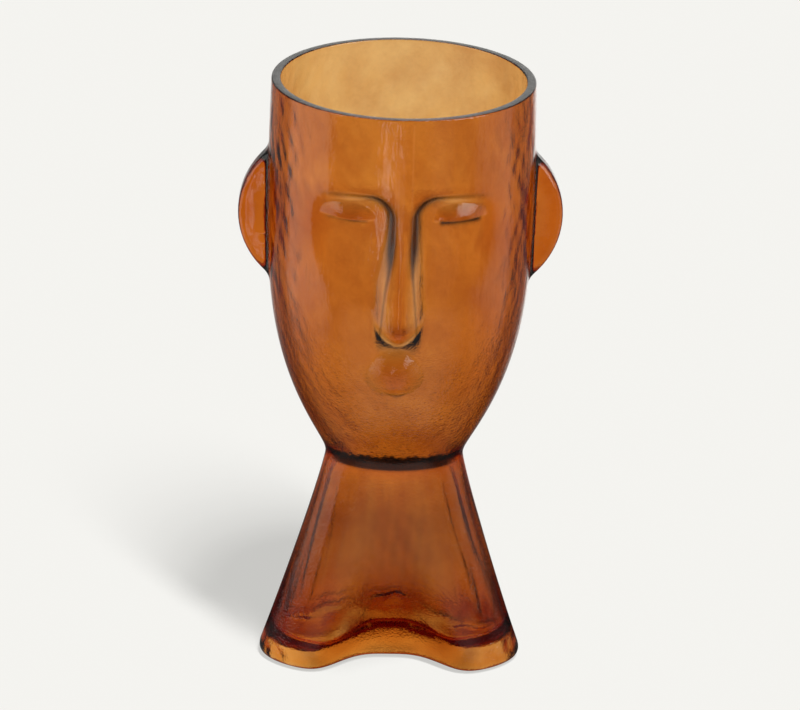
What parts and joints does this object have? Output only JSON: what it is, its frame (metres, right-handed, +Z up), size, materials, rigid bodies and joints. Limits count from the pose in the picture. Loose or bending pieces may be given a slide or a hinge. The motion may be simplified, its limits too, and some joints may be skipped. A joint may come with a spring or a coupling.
{
  "type": "vase",
  "caption": "Tall amber glass vase: an open head with brow, nose, closed eyes and lips in low relief, disc ears, a pinched neck and a flared hollow foot.",
  "frame": {"origin": "on the underside of the foot, straight below the middle of the round rim", "axes": "+Z up along the vase, -Y the way the face looks, +X to the right of someone who looks at the face"},
  "size_m": [0.1502, 0.1312, 0.296],
  "materials": {
    "amber_glass": "clear, smooth and slightly rippled, ground lip"
  },
  "bodies": {
    "root": {"head": "amber_glass", "foot": "amber_glass", "ear_left": "amber_glass", "ear_right": "amber_glass"}
  },
  "joints": []
}
